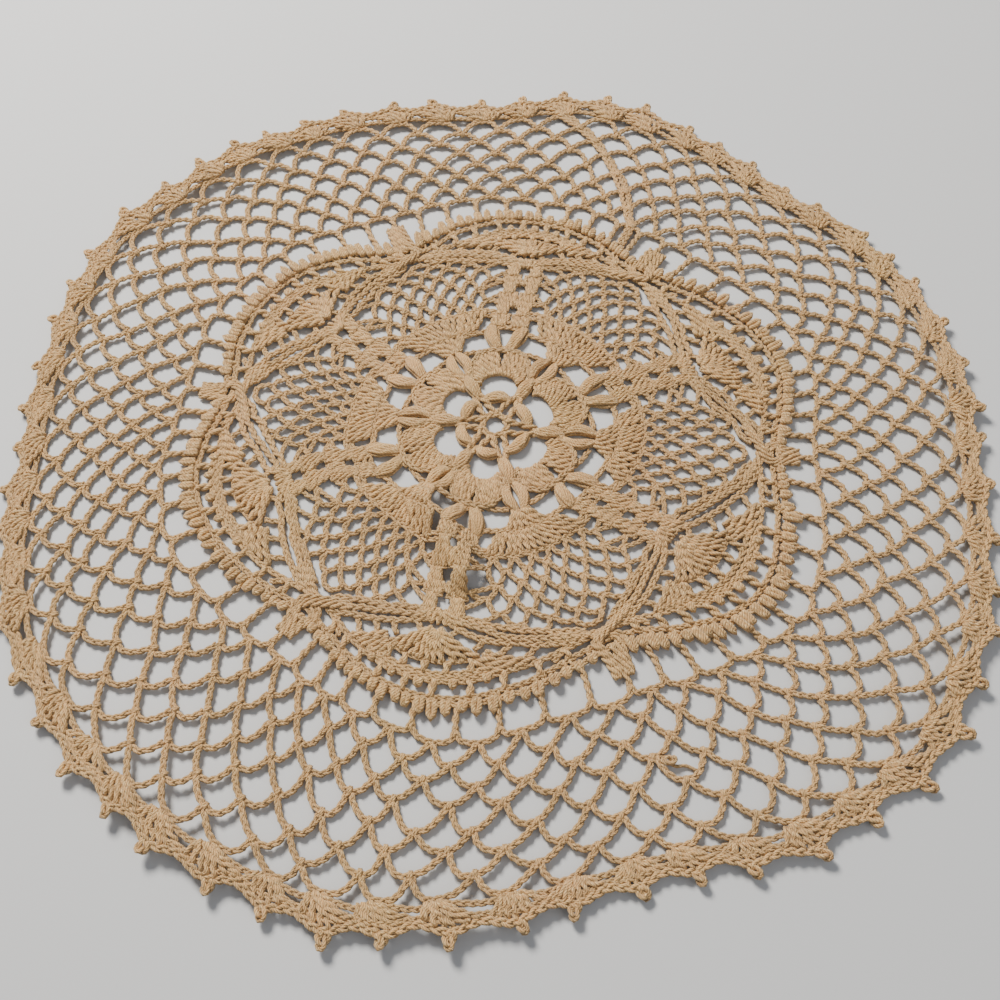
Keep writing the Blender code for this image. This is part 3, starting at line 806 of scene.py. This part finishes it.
def make_tail(work):
    """The fastened end of the yarn: a small knot and a short free end."""
    c = np.array([0.303, -0.713])

    def at(points, heights):
        xy = np.array(points) * MEAN_RADIUS + CENTRE_SHIFT
        return np.column_stack([xy, ground(xy) + np.array(heights)])

    turns = np.linspace(0, 4.4 * np.pi, 22)
    coil = at([(c[0] + 0.0085 * math.cos(a) + 0.0008 * a, c[1] + 0.0065 * math.sin(a)) for a in turns], 0.0016 + 0.00018 * turns / 2)
    work.strand(coil, 0.00055, sides=6)
    path = curved(np.array([(0.306, -0.716), (0.322, -0.7225), (0.340, -0.7210), (0.358, -0.7290)]))
    line, _ = evened(path, 0.004)
    work.strand(at(line, np.interp(np.linspace(0, 1, len(line)), [0, 0.3, 1], [0.0024, 0.0010, 0.0006])), 0.00055, sides=6)


# ---------------------------------------------------------------- the border
RIM_IN, RIM_OUT = 0.9530, 0.9890


def rim(angle):
    """Radius of the outer rope of the border: a low scallop over each loop of the net."""
    return RIM_OUT + 0.0058 * math.cos(math.radians(60.0 * (angle - FAN_AXIS - 0.5))) + 0.0030 * math.sin(math.radians(23 * angle))


def band(angle, share):
    """Radius of a rope inside the border, at a share of its width, which is drawn in between one shell and the next."""
    pinch = 0.5 - 0.5 * math.cos(math.radians(60.0 * (angle - FAN_AXIS - 0.5)))
    outer, inner = rim(angle), RIM_IN + 0.0060 * pinch
    return outer + (inner - outer) * share


def make_border(work, first_loop, last_loop):
    """Between two ropes that run round: slanted shells of posts, and a stubby picot over each."""
    for i in range(first_loop, last_loop):
        across, out = slip(9, (i - 3) % NET_LOOPS)
        middle = FAN_AXIS + 6.0 * i
        crown = middle + 0.5 + 0.7 * across
        over = 0.0005 * (i % 2) + rng.uniform(0, 0.0003)
        tilt = rng.normal(-0.35, 0.45)
        for t in np.linspace(-1.0, 1.0, 8):
            start = polar(middle + tilt + 0.90 * t, RIM_IN - 0.001 + 0.003 * abs(t))
            tip = crown + (2.85 + rng.normal(0, 0.20)) * t
            end = polar(tip, rim(tip) - 0.0040 - 0.0030 * abs(t) + rng.normal(0, 0.0010))
            bend = start * 0.45 + end * 0.55 + polar(middle, 0.0030 * (abs(t) - 0.5) + rng.normal(0, 0.0010))
            work.post([start, bend, end], [0.0012, 0.0016 + over, 0.0012 + over], 1.08, wobble=0.0020, steps=5)
        stem = polar(crown, rim(crown) - 0.001)
        work.hairpin(stem, polar(crown, 1.0), 0.0188 + 0.0036 * out, 0.0062 + rng.normal(0, 0.0006), 0.0, 0.0017, twisted=True, lean=0.9 * across)
    angles = FAN_AXIS + 6.0 * np.arange(first_loop, last_loop + 0.2, 0.20)
    work.chain([polar(a, rim(a)) for a in angles], 0.0018, 1.08, wobble=0.0024)
    work.chain([polar(a, band(a, 0.34)) for a in angles], 0.0017, 0.78, wobble=0.0026)
    work.chain([polar(a, band(a, 0.90)) for a in angles], 0.0012, 0.84, wobble=0.0026)


# ---------------------------------------------------------------- the cotton
def cotton_material():
    material = bpy.data.materials.new("ecru_cotton_yarn")
    material.use_nodes = True
    nodes, links = material.node_tree.nodes, material.node_tree.links
    shader = nodes["Principled BSDF"]
    shader.inputs["Roughness"].default_value = 0.86
    shader.inputs["Specular IOR Level"].default_value = 0.25
    shader.inputs["Sheen Weight"].default_value = 0.35
    shader.inputs["Sheen Roughness"].default_value = 0.5
    shader.inputs["Sheen Tint"].default_value = (1.0, 0.90, 0.74, 1.0)

    def node(kind, **values):
        made = nodes.new(kind)
        for name, value in values.items():
            setattr(made, name, value)
        return made

    def mixed(first, second, factor, blend="MIX"):
        mix = node("ShaderNodeMix", data_type="RGBA", blend_type=blend)
        for socket, value in ((mix.inputs[0], factor), (mix.inputs[6], first), (mix.inputs[7], second)):
            if isinstance(value, bpy.types.NodeSocket):
                links.new(value, socket)
            else:
                socket.default_value = value
        return mix.outputs[2]

    def maths(operation, a, b=None, c=None):
        made = node("ShaderNodeMath", operation=operation)
        for socket, value in zip(made.inputs, (a, b, c)):
            if value is None:
                continue
            if isinstance(value, bpy.types.NodeSocket):
                links.new(value, socket)
            else:
                socket.default_value = value
        return made.outputs[0]

    def ranged(value, low, high, to_low=0.0, to_high=1.0):
        made = node("ShaderNodeMapRange")
        links.new(value, made.inputs[0])
        for k, number in enumerate((low, high, to_low, to_high)):
            made.inputs[k + 1].default_value = number
        return made.outputs[0]

    place = node("ShaderNodeTexCoord").outputs["Object"]

    def noise(scale, detail=3.0, vector=place):
        made = node("ShaderNodeTexNoise")
        made.inputs["Scale"].default_value = scale
        made.inputs["Detail"].default_value = detail
        links.new(vector, made.inputs["Vector"])
        return made.outputs["Fac"]

    yarn = node("ShaderNodeUVMap", uv_map="yarn").outputs[0]
    split = node("ShaderNodeSeparateXYZ")
    links.new(yarn, split.inputs[0])
    round_it, along = split.outputs[0], split.outputs[1]
    # plies: four of them wind round the yarn; their grooves give the bump and a painted shade
    turn = maths("ADD", maths("MULTIPLY", round_it, 4.0), maths("MULTIPLY", along, 4.0))
    ply = maths("ABSOLUTE", maths("SINE", maths("MULTIPLY", turn, math.pi)))
    ply_high = maths("POWER", ply, 0.6)
    # fibres: fine lines along the plies, which give the bump and a painted highlight
    stretch = node("ShaderNodeCombineXYZ")
    links.new(maths("ADD", maths("MULTIPLY", round_it, 9.0), maths("MULTIPLY", along, 3.0)), stretch.inputs[0])
    links.new(maths("MULTIPLY", along, 1.2), stretch.inputs[1])
    fibres_and_highlights = noise(3.0, 4.0, stretch.outputs[0])

    deep = node("ShaderNodeAttribute", attribute_name="deep").outputs["Fac"]
    shade = node("ShaderNodeAttribute", attribute_name="shade").outputs["Fac"]

    pale = (0.815, 0.458, 0.174, 1.0)
    dark = (0.430, 0.236, 0.090, 1.0)
    colour = mixed(dark, pale, ranged(shade, 0.0, 1.0, 0.25, 1.0))
    colour = mixed(colour, (0.745, 0.384, 0.168, 1.0), ranged(noise(26.0, 2.0), 0.52, 0.70, 0.0, 0.45))
    colour = mixed(colour, (0.695, 0.445, 0.143, 1.0), ranged(noise(19.0, 2.0), 0.30, 0.46, 0.40, 0.0))
    # painted shade: dark brown laid over the yarn where the painted shade attribute is high, low in the work or facing
    # down
    colour = mixed(colour, (0.190, 0.100, 0.042, 1.0), ranged(deep, 0.08, 0.62, 0.0, 0.90))
    # painted shade: dark brown in the grooves between the plies
    colour = mixed(colour, (0.250, 0.138, 0.060, 1.0), ranged(ply, 0.0, 0.66, 0.88, 0.0))
    # painted highlight: light cream on the fibres
    colour = mixed(colour, (1.000, 0.720, 0.355, 1.0), ranged(fibres_and_highlights, 0.47, 0.63, 0.0, 0.88))
    links.new(colour, shader.inputs["Base Color"])

    height = maths("ADD", maths("MULTIPLY", ply_high, 1.0), maths("MULTIPLY", fibres_and_highlights, 0.55))
    bump = node("ShaderNodeBump")
    bump.inputs["Strength"].default_value = 0.85
    bump.inputs["Distance"].default_value = 0.00030
    links.new(height, bump.inputs["Height"])
    links.new(bump.outputs[0], shader.inputs["Normal"])
    return material


# ---------------------------------------------------------------- the pieces
cotton = cotton_material()
works = {}
for k in range(6):
    base, raised = Work(f"doily_repeat_{k + 1}"), Work(f"doily_raised_{k + 1}")
    make_repeat(base, raised, k)
    works[base.name], works[raised.name] = base, raised
for name, first in (("a", 0), ("b", 20), ("c", 40)):
    net, edging = Work(f"doily_net_{name}"), Work(f"doily_edging_{name}")
    make_net(net, first, first + 20)
    make_border(edging, first, first + 20)
    works[net.name], works[edging.name] = net, edging
make_seam(works["doily_net_a"])
make_tail(works["doily_edging_c"])

# each sheet's own place in the chart, as it would lie flat: outer and inner radius, and share of the circle
FLAT = {f"doily_repeat_{k + 1}": (0.645, 0.0, 1 / 6) for k in range(6)}
FLAT.update({f"doily_net_{name}": (0.960, 0.645, 1 / 3) for name in "abc"})


def flat_size(outer, inner, share):
    """Width and length of such a piece of a ring, and its area."""
    half = math.pi * share
    width, length = 2 * outer * math.sin(half), outer - inner * math.cos(half)
    return (width * MEAN_RADIUS, length * MEAN_RADIUS), half * (outer**2 - inner**2) * MEAN_RADIUS**2


for name, work in works.items():
    piece = work.finished(cotton)
    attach(piece, "root")
    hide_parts("doily")
    areas = np.zeros(len(piece.data.polygons), np.float32)
    piece.data.polygons.foreach_get("area", areas)
    if name in FLAT:
        print(name, "share", round(float(areas.sum()) / 2 / flat_size(*FLAT[name])[1], 2))
print("triangles in all", sum(work.triangles for work in works.values()))

# ---------------------------------------------------------------- floor, light and camera
bpy.ops.mesh.primitive_plane_add(size=6.0, location=(0.0, 0.0, -0.0001))
floor = bpy.context.object
floor.name = "floor"
floor_material = bpy.data.materials.new("pale_floor")
floor_material.use_nodes = True
floor_shader = floor_material.node_tree.nodes["Principled BSDF"]
floor_shader.inputs["Base Color"].default_value = (0.66, 0.67, 0.68, 1.0)
floor_shader.inputs["Roughness"].default_value = 0.7
floor_shader.inputs["Specular IOR Level"].default_value = 0.2
floor.data.materials.append(floor_material)


def area_light(name, place, target, size, power, colour):
    data = bpy.data.lights.new(name, "AREA")
    data.shape = "DISK"
    data.size = size
    data.energy = power
    data.color = colour
    light = bpy.data.objects.new(name, data)
    bpy.context.scene.collection.objects.link(light)
    forward = (np.array(target) - np.array(place)).astype(float)
    forward /= np.linalg.norm(forward)
    right = np.cross(forward, (0.0, 0.0, 1.0))
    right /= np.linalg.norm(right)
    up = np.cross(right, forward)
    rotation = Matrix(np.column_stack([right, up, -forward]).tolist())
    light.matrix_world = Matrix.Translation(place) @ rotation.to_4x4()
    return light


area_light("key", (-0.55, 0.75, 0.95), (0.0, 0.0, 0.0), 0.45, 32.5, (1.0, 0.955, 0.89))
area_light("fill", (0.9, -0.7, 0.9), (0.0, 0.0, 0.0), 1.1, 3.5, (0.93, 0.96, 1.0))
world = bpy.data.worlds.new("studio")
world.use_nodes = True
world.node_tree.nodes["Background"].inputs["Color"].default_value = (0.92, 0.95, 1.0, 1.0)
world.node_tree.nodes["Background"].inputs["Strength"].default_value = 0.26
bpy.context.scene.world = world

# The camera looks down at 57.6 degrees from in front, with the middle of the doily left of and above the middle of the frame
FOCAL_PIXELS = 1093.0
DISTANCE, DOWN = 2.32 * MEAN_RADIUS, 1.00531
TARGET_X, TARGET_Y = 497.0, 428.0
away = np.array([0.0, -math.cos(DOWN), math.sin(DOWN)])
camera_place = away * DISTANCE + np.append(CENTRE_SHIFT, 0.0)
ray = np.array([(TARGET_X - 500) / FOCAL_PIXELS, (TARGET_Y - 500) / FOCAL_PIXELS, 1.0])
ray /= np.linalg.norm(ray)
forward = -away
right = np.cross(forward, (0.0, 0.0, 1.0))
right /= np.linalg.norm(right)
base = np.column_stack([right, np.cross(forward, right), forward])
axis = np.cross(ray, (0.0, 0.0, 1.0))
sine, cosine = np.linalg.norm(axis), ray[2]
kx, ky, kz = axis / sine
skew = np.array([[0, -kz, ky], [kz, 0, -kx], [-ky, kx, 0]])
turned = np.eye(3) + sine * skew + (1 - cosine) * skew @ skew
rotation = base @ turned @ np.diag([1.0, -1.0, -1.0])
camera_data = bpy.data.cameras.new("camera")
camera_data.sensor_fit = "HORIZONTAL"
camera_data.sensor_width = 36.0
camera_data.lens = FOCAL_PIXELS / 1000.0 * 36.0
camera_data.clip_start, camera_data.clip_end = 0.01, 20.0
camera = bpy.data.objects.new("camera", camera_data)
bpy.context.scene.collection.objects.link(camera)
camera.matrix_world = Matrix.Translation(camera_place.tolist()) @ Matrix(rotation.tolist()).to_4x4()
bpy.context.scene.camera = camera

bpy.context.view_layer.update()
